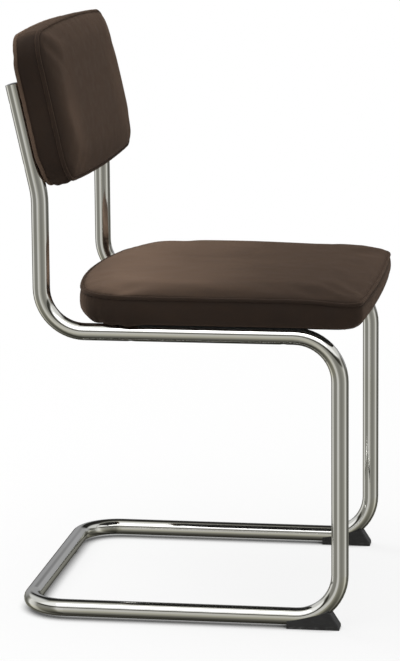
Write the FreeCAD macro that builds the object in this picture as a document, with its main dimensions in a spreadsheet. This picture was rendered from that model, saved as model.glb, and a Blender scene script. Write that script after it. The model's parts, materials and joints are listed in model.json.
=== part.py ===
import FreeCAD, Part
import math
import os
import Sketcher
from FreeCAD import Placement, Rotation, Vector

# Cantilever dining chair: one bent chromed tube carries an upholstered seat and an upholstered back.
# Millimetres. +Z is up, the sitter faces -Y, X = 0 is the plane of symmetry, and the floor is Z = 0.

doc = FreeCAD.newDocument("cantilever_chair")

# Driving dimensions
SIZES = {
    "overall_depth": 517,
    "tube_od": 25,
    "tube_wall": 2,
    "tube_spacing": 455,
    "base_length": 465,
    "base_height": 15.8,
    "rail_height": 427.5,
    "upright_setback": 431,
    "kink_height": 624.5,
    "lean_angle": 12.25,
    "slope_length": 162,
    "bend_base": 64,
    "bend_seat_front": 65.4,
    "bend_seat_rear": 63,
    "bend_kink": 118,
    "bend_corner": 60,
    "screw_radius": 3,
    "screw_head_radius": 5.25,
    "screw_head_height": 3.3,
    "seat_screw_length": 16,
    "back_screw_length": 13,
    "screw_play": 0.2,
    "screw_socket": 4,
    "thread_gap": 0.05,
    "overrun": 1,
    "access_hole_radius": 6,
    "nut_radius": 4,
    "nut_flange_radius": 9,
    "nut_flange": 1.6,
    "nut_height": 9,
    "seat_screw_front": 80,
    "seat_screw_rear": 300,
    "back_screw_low": 45,
    "back_screw_high": 135,
    "seat_width": 498,
    "seat_depth": 445.5,
    "seat_front_bow": 4200,
    "seat_rear_bow": 800,
    "seat_front_corner": 30,
    "seat_rear_corner": 86,
    "seat_seam": 39,
    "seat_crown": 14.5,
    "seat_tilt": 0.75,
    "seat_board": 12,
    "lining": 0.6,
    "seat_band_start": 0.6,
    "seat_opening": 0.86,
    "back_width": 498,
    "back_height": 235,
    "back_bottom": 2,
    "back_top_bow": 3600,
    "back_bottom_bow": 4200,
    "back_corner": 42,
    "back_seam": 35.5,
    "back_crown": 13,
    "back_board": 9,
    "back_band_start": 5.2,
    "cover": 1.4,
    "welt_radius": 2.4,
    "glide_length": 76.5,
    "glide_width": 26,
    "glide_toe": 4,
    "glide_peak": 26,
    "glide_peak_setback": 14,
    "glide_tail": 10,
    "glide_peg_radius": 3,
    "glide_peg_setback": 48,
    "glide_bevel": 1.6,
    "glide_round": 1.2,
    "rear_glide_length": 18,
    "rear_glide_width": 9,
    "rear_glide_height": 7,
    "rear_glide_place": 120,
    "cap_rise": 2.6,
    "cap_rim": 0.8,
    "cap_stem": 12,
}

sheet = doc.addObject("Spreadsheet::Sheet", "Sizes")
for row, (alias, number) in enumerate(SIZES.items(), start=1):
    sheet.set(f"A{row}", alias)
    sheet.set(f"B{row}", str(number))
    sheet.setAlias(f"B{row}", alias)
doc.recompute()


def size(alias):
    """The value of one driving dimension."""
    return float(sheet.get(alias))


X_AXIS = Vector(1, 0, 0)
HALF_DEPTH = size("overall_depth") / 2
TUBE = size("tube_od") / 2
BORE = TUBE - size("tube_wall")
SIDE = size("tube_spacing") / 2
CROSSBAR_Y = HALF_DEPTH - TUBE
LEG_Y = CROSSBAR_Y - size("base_length")
UPRIGHT_Y = LEG_Y + size("upright_setback")
LEAN = math.radians(size("lean_angle"))

# The same places as expressions on the sheet
CROSSBAR_Y_CELL = "Sizes.overall_depth / 2 - Sizes.tube_od / 2"
LEG_Y_CELL = f"({CROSSBAR_Y_CELL} - Sizes.base_length)"
UPRIGHT_Y_CELL = f"({LEG_Y_CELL} + Sizes.upright_setback)"


def make_body(label):
    """An empty body that carries the sub-part's name."""
    body = doc.addObject("PartDesign::Body", label)
    body.Label = label
    return body


def origin_plane(body, role):
    """One of the body's own three base planes."""
    return next(item for item in body.Origin.OriginFeatures if item.Role == role)


def bind_placement(thing, cells):
    """Ties coordinates of a placement to the sheet: {"Placement.Base.z": expression, ...}."""
    for path, expression in cells.items():
        thing.setExpression(path, expression)


class Drawing:
    """A sketch on a base plane of its body, with dimensions tied to the sheet."""

    def __init__(self, body, name, role="XY_Plane", offset=None, cells=None):
        self.sketch = body.newObject("Sketcher::SketchObject", f"{body.Name}_{name}")
        self.sketch.AttachmentSupport = (origin_plane(body, role), "")
        self.sketch.MapMode = "FlatFace"
        self.sketch.AttachmentOffset = offset or Placement()
        bind_placement(self.sketch, cells or {})

    def line(self, start, end):
        segment = Part.LineSegment(Vector(*start, 0), Vector(*end, 0))
        return self.sketch.addGeometry(segment, False)

    def circle(self, centre, radius):
        circle = Part.Circle(Vector(*centre, 0), Vector(0, 0, 1), radius)
        return self.sketch.addGeometry(circle, False)

    def arc(self, centre, radius, start, end):
        """Counter-clockwise from start to end, in degrees."""
        circle = Part.Circle(Vector(*centre, 0), Vector(0, 0, 1), radius)
        curve = Part.ArcOfCircle(circle, math.radians(start), math.radians(end))
        return self.sketch.addGeometry(curve, False)

    def hold(self, *constraint):
        return self.sketch.addConstraint(Sketcher.Constraint(*constraint))

    def dimension(self, expression, *constraint):
        """A dimension drawn at its present value and then tied to the sheet."""
        index = self.hold(*constraint)
        name = f"d{index}"
        self.sketch.renameConstraint(index, name)
        self.sketch.setExpression(f"Constraints.{name}", expression)

    def place_point(self, geometry, point, x, y, x_cell, y_cell):
        """Dimensions a point from the origin; each cell gives the distance without its sign."""
        for kind, value, cell in (("DistanceX", x, x_cell), ("DistanceY", y, y_cell)):
            if cell is None:
                continue
            if value >= 0:
                self.dimension(cell, kind, -1, 1, geometry, point, value)
            else:
                self.dimension(cell, kind, geometry, point, -1, 1, -value)


def feature(body, kind, name, **settings):
    """A feature of a body with its properties set."""
    thing = body.newObject(f"PartDesign::{kind}", f"{body.Name}_{name}")
    for key, value in settings.items():
        setattr(thing, key, value)
    return thing


def pad(body, drawing, name, length_cell, reverse=False, midplane=False, kind="Pad"):
    """A pad or a pocket of one length tied to the sheet."""
    thing = feature(body, kind, name, Profile=drawing.sketch, Reversed=reverse, Midplane=midplane)
    thing.setExpression("Length", length_cell)
    return thing


def pocket(body, drawing, name, length_cell, reverse=False, midplane=False):
    """A pocket, checked to take material away."""
    doc.recompute()
    before = body.Shape.Volume
    thing = pad(body, drawing, name, length_cell, reverse, midplane, "Pocket")
    doc.recompute()
    if not body.Shape.Volume < before - 1e-3:
        raise RuntimeError(f"{body.Name} {name}: the pocket cuts nothing")
    return thing


def pipe(body, kind, name, spine, profile):
    """A sweep of a profile along a whole sketch."""
    edges = [f"Edge{number + 1}" for number in range(len(spine.Shape.Edges))]
    return feature(body, kind, name, Profile=profile, Spine=(spine, edges))


def round_profile(body, name, spine, radii):
    """Circles square to the first edge of a spine, at its start. radii: {cell: value}."""
    sketch = body.newObject("Sketcher::SketchObject", f"{body.Name}_{name}")
    sketch.AttachmentSupport = [(spine, "Edge1")]
    sketch.MapMode = "NormalToEdge"
    sketch.MapPathParameter = 0
    for cell, radius in radii.items():
        index = sketch.addGeometry(Part.Circle(Vector(), Vector(0, 0, 1), radius), False)
        sketch.addConstraint(Sketcher.Constraint("Coincident", index, 3, -1, 1))
        number = sketch.addConstraint(Sketcher.Constraint("Radius", index, radius))
        sketch.renameConstraint(number, f"radius{index}")
        sketch.setExpression(f"Constraints.radius{index}", cell)
    return sketch


# The bent tube

SLOPE_FRAME = Placement(Vector(0, UPRIGHT_Y, size("kink_height")), Rotation(X_AXIS, 90 - size("lean_angle")))
SLOPE_CELLS = {"Base.y": UPRIGHT_Y_CELL, "Base.z": "Sizes.kink_height"}


def slope_cells(prefix):
    return {f"{prefix}.{key}": cell for key, cell in SLOPE_CELLS.items()}


def side_path(body):
    """Centre line of one side: base rail, front leg, seat rail and upright, in the plane of that side."""
    drawing = Drawing(
        body,
        "side_path",
        "YZ_Plane",
        Placement(Vector(0, 0, -SIDE), Rotation()),
        {"AttachmentOffset.Base.z": "-Sizes.tube_spacing / 2"},
    )
    base, rail = size("base_height"), size("rail_height")
    r_base, r_front = size("bend_base"), size("bend_seat_front")
    r_rear, r_kink, r_corner = size("bend_seat_rear"), size("bend_kink"), size("bend_corner")
    kink_start = size("kink_height") - r_kink * math.tan(LEAN / 2)
    slope = size("slope_length") - r_kink * math.tan(LEAN / 2)
    kink_end = (UPRIGHT_Y + r_kink * (1 - math.cos(LEAN)), kink_start + r_kink * math.sin(LEAN))
    top = (kink_end[0] + slope * math.sin(LEAN), kink_end[1] + slope * math.cos(LEAN))
    lean = size("lean_angle")

    floor_rail = drawing.line((CROSSBAR_Y - r_corner, base), (LEG_Y + r_base, base))
    base_bend = drawing.arc((LEG_Y + r_base, base + r_base), r_base, 180, 270)
    leg = drawing.line((LEG_Y, base + r_base), (LEG_Y, rail - r_front))
    front_bend = drawing.arc((LEG_Y + r_front, rail - r_front), r_front, 90, 180)
    seat_rail = drawing.line((LEG_Y + r_front, rail), (UPRIGHT_Y - r_rear, rail))
    rear_bend = drawing.arc((UPRIGHT_Y - r_rear, rail + r_rear), r_rear, 270, 360)
    upright = drawing.line((UPRIGHT_Y, rail + r_rear), (UPRIGHT_Y, kink_start))
    kink = drawing.arc((UPRIGHT_Y + r_kink, kink_start), r_kink, 180 - lean, 180)
    sloped = drawing.line(kink_end, top)

    for first, end, second, start in (
        (floor_rail, 2, base_bend, 2),
        (base_bend, 1, leg, 1),
        (leg, 2, front_bend, 2),
        (front_bend, 1, seat_rail, 1),
        (seat_rail, 2, rear_bend, 1),
        (rear_bend, 2, upright, 1),
        (upright, 2, kink, 2),
        (kink, 1, sloped, 1),
    ):
        drawing.hold("Tangent", first, end, second, start)
    for rail_line in (floor_rail, seat_rail):
        drawing.hold("Horizontal", rail_line)
    for post in (leg, upright):
        drawing.hold("Vertical", post)
    for bend, alias in (
        (base_bend, "bend_base"),
        (front_bend, "bend_seat_front"),
        (rear_bend, "bend_seat_rear"),
        (kink, "bend_kink"),
    ):
        drawing.dimension(f"Sizes.{alias}", "Radius", bend, size(alias))
    start_cell = f"{CROSSBAR_Y_CELL} - Sizes.bend_corner"
    kink_cell = "Sizes.kink_height - Sizes.bend_kink * tan(Sizes.lean_angle * 1 deg / 2)"
    drawing.place_point(floor_rail, 1, CROSSBAR_Y - r_corner, base, start_cell, "Sizes.base_height")
    drawing.place_point(leg, 1, LEG_Y, 0, f"-{LEG_Y_CELL}", None)
    drawing.place_point(seat_rail, 1, 0, rail, None, "Sizes.rail_height")
    drawing.place_point(upright, 1, UPRIGHT_Y, 0, UPRIGHT_Y_CELL, None)
    drawing.place_point(upright, 2, 0, kink_start, None, kink_cell)
    drawing.dimension("(90 - Sizes.lean_angle) * 1 deg", "Angle", sloped, math.pi / 2 - LEAN)
    slope_cell = "Sizes.slope_length - Sizes.bend_kink * tan(Sizes.lean_angle * 1 deg / 2)"
    drawing.dimension(slope_cell, "Distance", sloped, slope)
    return drawing


def rear_path(body):
    """Centre line of the rear of the base: corner, crossbar, corner, flat above the floor."""
    drawing = Drawing(
        body,
        "rear_path",
        "XY_Plane",
        Placement(Vector(0, 0, size("base_height")), Rotation()),
        {"AttachmentOffset.Base.z": "Sizes.base_height"},
    )
    radius = size("bend_corner")
    left = drawing.arc((radius - SIDE, CROSSBAR_Y - radius), radius, 90, 180)
    crossbar = drawing.line((radius - SIDE, CROSSBAR_Y), (SIDE - radius, CROSSBAR_Y))
    right = drawing.arc((SIDE - radius, CROSSBAR_Y - radius), radius, 0, 90)
    drawing.hold("Tangent", left, 1, crossbar, 1)
    drawing.hold("Tangent", crossbar, 2, right, 2)
    drawing.hold("Horizontal", crossbar)
    drawing.hold("Equal", left, right)
    drawing.dimension("Sizes.bend_corner", "Radius", left, radius)
    start_cell = f"{CROSSBAR_Y_CELL} - Sizes.bend_corner"
    half = "Sizes.tube_spacing / 2"
    drawing.place_point(left, 2, -SIDE, CROSSBAR_Y - radius, half, start_cell)
    drawing.place_point(right, 1, SIDE, CROSSBAR_Y - radius, half, start_cell)
    return drawing


def mirrored_holes(body, name, places, radius_cell, radius, offset, cells):
    """Round holes at +-SIDE on a plane. places: [(y, cell of the distance)]."""
    drawing = Drawing(body, name, "XY_Plane", offset, cells)
    for y, y_cell in places:
        for x in (-SIDE, SIDE):
            hole = drawing.circle((x, y), radius)
            drawing.place_point(hole, 3, x, y, "Sizes.tube_spacing / 2", y_cell)
            drawing.dimension(radius_cell, "Radius", hole, radius)
    return drawing


def seat_screw_places():
    """Distances of the seat screws along Y in the chair's frame, with their cells."""
    front = LEG_Y + size("seat_screw_front")
    rear = LEG_Y + size("seat_screw_rear")
    return [
        (front, f"-({LEG_Y_CELL} + Sizes.seat_screw_front)"),
        (rear, f"{LEG_Y_CELL} + Sizes.seat_screw_rear"),
    ]


def back_screw_places():
    """Distances of the back screws up the sloped tube from the kink, with their cells."""
    return [(size(alias), f"Sizes.{alias}") for alias in ("back_screw_low", "back_screw_high")]


def make_tube_frame():
    """One tube bent eleven times: it starts at one upper end, runs round the base and ends at the other."""
    body = make_body("tube_frame")
    radii = {"Sizes.tube_od / 2": TUBE, "Sizes.tube_od / 2 - Sizes.tube_wall": BORE}
    side = side_path(body)
    rear = rear_path(body)
    doc.recompute()
    side_ring = round_profile(body, "side_ring", side.sketch, radii)
    rear_ring = round_profile(body, "rear_ring", rear.sketch, radii)
    doc.recompute()
    side_tube = pipe(body, "AdditivePipe", "side_tube", side.sketch, side_ring)
    doc.recompute()
    middle = (origin_plane(body, "YZ_Plane"), [""])
    mirror = feature(body, "Mirrored", "other_side", Originals=[side_tube], MirrorPlane=middle)
    body.Tip = mirror
    doc.recompute()
    pipe(body, "AdditivePipe", "rear_tube", rear.sketch, rear_ring)

    rail_plane = Placement(Vector(0, 0, size("rail_height")), Rotation())
    rail_cells = {"AttachmentOffset.Base.z": "Sizes.rail_height"}
    head, shank = size("access_hole_radius"), size("screw_radius") + size("screw_play")
    shank_cell = "Sizes.screw_radius + Sizes.screw_play"
    for place, cells, rows, tag in (
        (rail_plane, rail_cells, seat_screw_places(), "seat"),
        (SLOPE_FRAME, slope_cells("AttachmentOffset"), back_screw_places(), "back"),
    ):
        access = mirrored_holes(body, f"{tag}_access", rows, "Sizes.access_hole_radius", head, place, cells)
        pocket(body, access, f"{tag}_access_holes", "Sizes.tube_od / 2 + Sizes.overrun")
        bolt = mirrored_holes(body, f"{tag}_bolt", rows, shank_cell, shank, place, cells)
        pocket(body, bolt, f"{tag}_bolt_holes", "Sizes.tube_od / 2 + Sizes.overrun", reverse=True)

    base_plane = Placement(Vector(0, 0, size("base_height")), Rotation())
    base_cells = {"AttachmentOffset.Base.z": "Sizes.base_height"}
    peg = size("glide_peg_radius")
    rows = [(LEG_Y + size("glide_peg_setback"), f"-({LEG_Y_CELL} + Sizes.glide_peg_setback)")]
    peg_cell = "Sizes.glide_peg_radius"
    front_pegs = mirrored_holes(body, "front_pegs", rows, peg_cell, peg, base_plane, base_cells)
    pocket(body, front_pegs, "front_peg_holes", "Sizes.tube_od / 2 + Sizes.overrun")
    rear_pegs = Drawing(body, "rear_pegs", "XY_Plane", base_plane, base_cells)
    for x in (-size("rear_glide_place"), size("rear_glide_place")):
        hole = rear_pegs.circle((x, CROSSBAR_Y), peg)
        rear_pegs.place_point(hole, 3, x, CROSSBAR_Y, "Sizes.rear_glide_place", CROSSBAR_Y_CELL)
        rear_pegs.dimension(peg_cell, "Radius", hole, peg)
    pocket(body, rear_pegs, "rear_peg_holes", "Sizes.tube_od / 2 + Sizes.overrun")
    return body


def make_tube_cap(label, sign):
    """Domed cap on an upper end of the tube, with a stem that plugs the bore."""
    body = make_body(label)
    rise, rim, stem = size("cap_rise"), size("cap_rim"), size("cap_stem")
    drawing = Drawing(body, "profile", "XZ_Plane")
    dome = (TUBE**2 + (rise - rim) ** 2) / (2 * (rise - rim))
    half_angle = math.degrees(math.asin(TUBE / dome))
    corners = [(0, rise), (0, -stem), (BORE, -stem), (BORE, 0), (TUBE, 0), (TUBE, rim)]
    lines = [drawing.line(a, b) for a, b in zip(corners, corners[1:])]
    crown = drawing.arc((0, rise - dome), dome, 90 - half_angle, 90)
    for first, second in zip(lines, lines[1:]):
        drawing.hold("Coincident", first, 2, second, 1)
    drawing.hold("Coincident", lines[-1], 2, crown, 1)
    drawing.hold("Coincident", crown, 2, lines[0], 1)
    drawing.hold("PointOnObject", lines[0], 1, -2)
    drawing.hold("PointOnObject", lines[2], 2, -1)
    drawing.hold("PointOnObject", crown, 3, -2)
    for upright in (lines[0], lines[2], lines[4]):
        drawing.hold("Vertical", upright)
    for level in (lines[1], lines[3]):
        drawing.hold("Horizontal", level)
    drawing.place_point(lines[0], 1, 0, rise, None, "Sizes.cap_rise")
    drawing.place_point(lines[0], 2, 0, -stem, None, "Sizes.cap_stem")
    drawing.place_point(lines[2], 1, BORE, 0, "Sizes.tube_od / 2 - Sizes.tube_wall", None)
    drawing.place_point(lines[4], 1, TUBE, 0, "Sizes.tube_od / 2", None)
    drawing.place_point(lines[4], 2, 0, rim, None, "Sizes.cap_rim")
    feature(body, "Revolution", "turned", Profile=drawing.sketch, ReferenceAxis=(drawing.sketch, ["V_Axis"]))
    top_y = UPRIGHT_Y + size("slope_length") * math.sin(LEAN)
    top_z = size("kink_height") + size("slope_length") * math.cos(LEAN)
    body.Placement = Placement(Vector(sign * SIDE, top_y, top_z), Rotation(X_AXIS, -size("lean_angle")))
    lean = "Sizes.lean_angle * 1 deg"
    cells = {
        "Placement.Base.x": f"{sign} * Sizes.tube_spacing / 2",
        "Placement.Base.y": f"{UPRIGHT_Y_CELL} + Sizes.slope_length * sin({lean})",
        "Placement.Base.z": f"Sizes.kink_height + Sizes.slope_length * cos({lean})",
    }
    bind_placement(body, cells)
    return body


# Glides

# Points closer than this, in millimetres, count as one point
TOUCH = 0.01


def make_front_glide(label, sign):
    """Wedge under a base bend: it lifts the tube off the floor and stops the chair from tipping forward."""
    body = make_body(label)
    length, toe, peak = size("glide_length"), size("glide_toe"), size("glide_peak")
    setback, tail = size("glide_peak_setback"), size("glide_tail")
    drawing = Drawing(body, "profile", "YZ_Plane")
    corners = [(0, 0), (0, toe), (setback, peak), (length, tail), (length, 0)]
    sides = [drawing.line(a, b) for a, b in zip(corners, corners[1:] + corners[:1])]
    for first, second in zip(sides, sides[1:] + sides[:1]):
        drawing.hold("Coincident", first, 2, second, 1)
    drawing.hold("Coincident", sides[0], 1, -1, 1)
    drawing.hold("Vertical", sides[0])
    drawing.hold("Vertical", sides[3])
    drawing.hold("Horizontal", sides[4])
    drawing.place_point(sides[0], 2, 0, toe, None, "Sizes.glide_toe")
    drawing.place_point(sides[2], 1, setback, peak, "Sizes.glide_peak_setback", "Sizes.glide_peak")
    drawing.place_point(sides[3], 1, length, tail, "Sizes.glide_length", "Sizes.glide_tail")
    pad(body, drawing, "block", "Sizes.glide_width", midplane=True)

    # The saddle follows the tube: straight along the base rail, then round its bend.
    radius, base = size("bend_base"), size("base_height")
    saddle = Drawing(body, "saddle_path", "YZ_Plane")
    run_start = length + size("overrun")
    run = saddle.line((run_start, base), (radius, base))
    bend = saddle.arc((radius, base + radius), radius, 180, 270)
    saddle.hold("Tangent", run, 2, bend, 2)
    saddle.hold("Horizontal", run)
    saddle.dimension("Sizes.bend_base", "Radius", bend, radius)
    start_cell = "Sizes.glide_length + Sizes.overrun"
    saddle.place_point(run, 1, run_start, base, start_cell, "Sizes.base_height")
    saddle.place_point(bend, 3, radius, 0, "Sizes.bend_base", None)
    saddle.place_point(bend, 1, 0, base + radius, None, "Sizes.base_height + Sizes.bend_base")
    doc.recompute()
    ring = round_profile(body, "saddle_ring", saddle.sketch, {"Sizes.tube_od / 2": TUBE})
    doc.recompute()
    pipe(body, "SubtractivePipe", "saddle", saddle.sketch, ring)
    doc.recompute()

    peg_place = size("glide_peg_setback")
    peg = Drawing(body, "peg_circle", "XY_Plane")
    circle = peg.circle((0, peg_place), size("glide_peg_radius"))
    peg.hold("PointOnObject", circle, 3, -2)
    peg.place_point(circle, 3, 0, peg_place, None, "Sizes.glide_peg_setback")
    peg.dimension("Sizes.glide_peg_radius", "Radius", circle, size("glide_peg_radius"))
    pad(body, peg, "peg", "Sizes.base_height")
    doc.recompute()

    # Bevels down both sides of the slanted front face, and a rounded tail
    slant = [name for name, edge in numbered_edges(body) if is_slant_edge(edge, setback, toe, peak)]
    bevel = feature(body, "Chamfer", "front_bevel", Base=(body.Tip, slant))
    bevel.setExpression("Size", "Sizes.glide_bevel")
    doc.recompute()
    tail_edges = [name for name, edge in numbered_edges(body) if is_tail_edge(edge, length)]
    tail_round = feature(body, "Fillet", "tail_round", Base=(body.Tip, tail_edges))
    tail_round.setExpression("Radius", "Sizes.glide_round")
    body.Placement = Placement(Vector(sign * SIDE, LEG_Y, 0), Rotation())
    cells = {"Placement.Base.x": f"{sign} * Sizes.tube_spacing / 2", "Placement.Base.y": LEG_Y_CELL}
    bind_placement(body, cells)
    return body


def numbered_edges(body):
    return [(f"Edge{number + 1}", edge) for number, edge in enumerate(body.Tip.Shape.Edges)]


def is_slant_edge(edge, setback, toe, peak):
    """True for the two straight side edges of the wedge's slanted face."""
    if len(edge.Vertexes) != 2:
        return False
    low, high = sorted((vertex.Point for vertex in edge.Vertexes), key=lambda point: point.z)
    starts_at_toe = abs(low.z - toe) < TOUCH and abs(low.y) < TOUCH
    rises = high.z > (toe + peak) / 2 and 0 < high.y <= setback + TOUCH
    return starts_at_toe and rises and abs(low.x - high.x) < TOUCH


def is_tail_edge(edge, length):
    """True for the short upright edges at the wedge's rear end."""
    ends = [vertex.Point for vertex in edge.Vertexes]
    if len(ends) != 2 or any(abs(end.y - length) > TOUCH for end in ends):
        return False
    return abs(ends[0].x - ends[1].x) < TOUCH


def make_rear_glide(label, sign):
    """Small saddle pad under the crossbar, as thick under the tube as the front wedges."""
    body = make_body(label)
    half = size("rear_glide_width") / 2
    reach = size("rear_glide_length") / 2 - half
    drawing = Drawing(body, "outline", "XY_Plane")
    front = drawing.line((-reach, -half), (reach, -half))
    right_end = drawing.arc((reach, 0), half, -90, 90)
    rear = drawing.line((reach, half), (-reach, half))
    left_end = drawing.arc((-reach, 0), half, 90, 270)
    loop = [front, right_end, rear, left_end]
    for first, second in zip(loop, loop[1:] + loop[:1]):
        drawing.hold("Tangent", first, 2, second, 1)
    drawing.hold("Horizontal", front)
    drawing.hold("PointOnObject", right_end, 3, -1)
    drawing.dimension("Sizes.rear_glide_width / 2", "Radius", right_end, half)
    reach_cell = "Sizes.rear_glide_length / 2 - Sizes.rear_glide_width / 2"
    drawing.place_point(right_end, 3, reach, 0, reach_cell, None)
    drawing.place_point(left_end, 3, -reach, 0, reach_cell, None)
    pad(body, drawing, "block", "Sizes.rear_glide_height")

    groove = Drawing(body, "groove_circle", "YZ_Plane")
    circle = groove.circle((0, size("base_height")), TUBE)
    groove.hold("PointOnObject", circle, 3, -2)
    groove.place_point(circle, 3, 0, size("base_height"), None, "Sizes.base_height")
    groove.dimension("Sizes.tube_od / 2", "Radius", circle, TUBE)
    pocket(body, groove, "groove", "Sizes.rear_glide_length + 2 * Sizes.overrun", midplane=True)

    peg = Drawing(body, "peg_circle", "XY_Plane")
    pin = peg.circle((0, 0), size("glide_peg_radius"))
    peg.hold("Coincident", pin, 3, -1, 1)
    peg.dimension("Sizes.glide_peg_radius", "Radius", pin, size("glide_peg_radius"))
    pad(body, peg, "peg", "Sizes.base_height")
    body.Placement = Placement(Vector(sign * size("rear_glide_place"), CROSSBAR_Y, 0), Rotation())
    cells = {"Placement.Base.x": f"{sign} * Sizes.rear_glide_place", "Placement.Base.y": CROSSBAR_Y_CELL}
    bind_placement(body, cells)
    return body


# Cushions
# Both cushions are drawn flat: local X across, local Y front to rear or bottom to top, local Z out of
# the tube. Every outline is the cushion's plan, scaled about its centre and then moved in by an inset.

SEAM_INSET = 3
WELT_INSET = 2.5
WELT_GAP = 0.1
HEM_INSET = 1
BOARD_INSET = 11
LINING_INSET = 12
FOAM_INSET = 3.2

# The swell of a padded face: outlines at these scales, on a curve of these two powers
CROWN_SCALES = (1, 0.985, 0.95, 0.89, 0.77, 0.57, 0.3)
CROWN_SPREAD = 2.5
CROWN_FULLNESS = 0.62


class Cushion:
    """The driving dimensions of one cushion, as values and as cells, and the forms made from them."""

    def __init__(self, prefix, depth, low_bow, high_bow, low_corner, high_corner, tilt, band_steps):
        self.prefix = prefix
        aliases = {
            "half_width": f"{prefix}_width",
            "half_depth": depth,
            "low_bow": low_bow,
            "high_bow": high_bow,
            "low_corner": low_corner,
            "high_corner": high_corner,
        }
        self.cells = {key: f"Sizes.{alias}" for key, alias in aliases.items()}
        self.values = {key: size(alias) for key, alias in aliases.items()}
        for key in ("half_width", "half_depth"):
            self.cells[key] += " / 2"
            self.values[key] /= 2
        self.seam = size(f"{prefix}_seam")
        self.crown = size(f"{prefix}_crown")
        self.tilt = tilt
        self.band_steps = band_steps

    def band_levels(self):
        """Drawn-in sides, from the edge next to the tube up to the seam: height, cell, scale, inset, tilt."""
        top, top_cell = self.seam - size("welt_radius"), f"(Sizes.{self.prefix}_seam - Sizes.welt_radius)"
        start, start_cell = size(f"{self.prefix}_band_start"), f"Sizes.{self.prefix}_band_start"
        for share, inset in self.band_steps:
            height = start + (top - start) * share
            cell = f"{start_cell} + ({top_cell} - {start_cell}) * {share}"
            yield height, cell, 1, inset, self.tilt * share

    def crown_levels(self):
        """The padded face as a rounded swell, from the seam to its flat middle."""
        low, low_cell = self.seam + size("welt_radius"), f"(Sizes.{self.prefix}_seam + Sizes.welt_radius)"
        rise = self.crown - size("welt_radius")
        rise_cell = f"(Sizes.{self.prefix}_crown - Sizes.welt_radius)"
        for scale in CROWN_SCALES:
            share = round((1 - scale**CROWN_SPREAD) ** CROWN_FULLNESS, 4)
            cell = f"{low_cell} + {rise_cell} * {share}"
            yield low + rise * share, cell, scale, SEAM_INSET, self.tilt

    def outline(self, body, name, height, height_cell, scale=1, inset=0, tilt=0):
        """A closed outline: two bowed ends, two straight sides and four round corners, all tangent."""
        drawing = Drawing(
            body,
            name,
            "XY_Plane",
            Placement(Vector(0, 0, height), Rotation(X_AXIS, tilt)),
            {"AttachmentOffset.Base.z": height_cell},
        )
        part = {key: value * scale - inset for key, value in self.values.items()}
        cell = {key: f"({text} * {scale} - {inset})" for key, text in self.cells.items()}
        width, depth = part["half_width"], part["half_depth"]

        low_y = part["low_bow"] - depth
        high_y = depth - part["high_bow"]
        low_x = width - part["low_corner"]
        high_x = width - part["high_corner"]
        low_corner_y = low_y - math.sqrt((part["low_bow"] - part["low_corner"]) ** 2 - low_x**2)
        high_corner_y = high_y + math.sqrt((part["high_bow"] - part["high_corner"]) ** 2 - high_x**2)
        low_angle = math.degrees(math.atan2(low_corner_y - low_y, low_x))
        high_angle = math.degrees(math.atan2(high_corner_y - high_y, high_x))

        low_end = drawing.arc((0, low_y), part["low_bow"], -180 - low_angle, low_angle)
        low_right = drawing.arc((low_x, low_corner_y), part["low_corner"], low_angle, 0)
        right = drawing.line((width, low_corner_y), (width, high_corner_y))
        high_right = drawing.arc((high_x, high_corner_y), part["high_corner"], 0, high_angle)
        high_end = drawing.arc((0, high_y), part["high_bow"], high_angle, 180 - high_angle)
        high_left = drawing.arc((-high_x, high_corner_y), part["high_corner"], 180 - high_angle, 180)
        left = drawing.line((-width, high_corner_y), (-width, low_corner_y))
        low_left = drawing.arc((-low_x, low_corner_y), part["low_corner"], 180, 180 - low_angle)

        loop = [low_end, low_right, right, high_right, high_end, high_left, left, low_left]
        for first, second in zip(loop, loop[1:] + loop[:1]):
            drawing.hold("Tangent", first, 2, second, 1)
        drawing.hold("Vertical", right)
        drawing.hold("Vertical", left)
        drawing.hold("PointOnObject", low_end, 3, -2)
        drawing.hold("PointOnObject", high_end, 3, -2)
        drawing.hold("Equal", low_right, low_left)
        drawing.hold("Equal", high_right, high_left)
        drawing.dimension(cell["low_bow"], "Radius", low_end, part["low_bow"])
        drawing.dimension(cell["high_bow"], "Radius", high_end, part["high_bow"])
        drawing.dimension(cell["low_corner"], "Radius", low_right, part["low_corner"])
        drawing.dimension(cell["high_corner"], "Radius", high_right, part["high_corner"])
        drawing.place_point(right, 1, width, 0, cell["half_width"], None)
        drawing.place_point(left, 1, -width, 0, cell["half_width"], None)
        drawing.place_point(low_end, 3, 0, low_y, None, f"{cell['low_bow']} - {cell['half_depth']}")
        drawing.place_point(high_end, 3, 0, high_y, None, f"{cell['high_bow']} - {cell['half_depth']}")
        return drawing.sketch

    def loft(self, body, kind, name, levels, ruled=False):
        """A loft through outlines: (height, cell, scale, inset, tilt) each."""
        sections = [self.outline(body, f"{name}_{number}", *level) for number, level in enumerate(levels)]
        doc.recompute()
        thing = feature(body, kind, name, Profile=sections[0], Sections=sections[1:], Ruled=ruled)
        doc.recompute()
        return thing

    def slab(self, body, name, bottom, bottom_cell, thickness_cell, inset):
        """A flat plate with the cushion's outline."""
        sketch = self.outline(body, f"{name}_outline", bottom, bottom_cell, 1, inset)
        plate = feature(body, "Pad", name, Profile=sketch)
        plate.setExpression("Length", thickness_cell)
        doc.recompute()
        return plate


def lowered(levels, drop, drop_cell, extra_inset):
    """The same levels further inside: lower by drop and moved in."""
    return [(h - drop, f"{c} - {drop_cell}", s, i + extra_inset, t) for h, c, s, i, t in levels]


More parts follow.
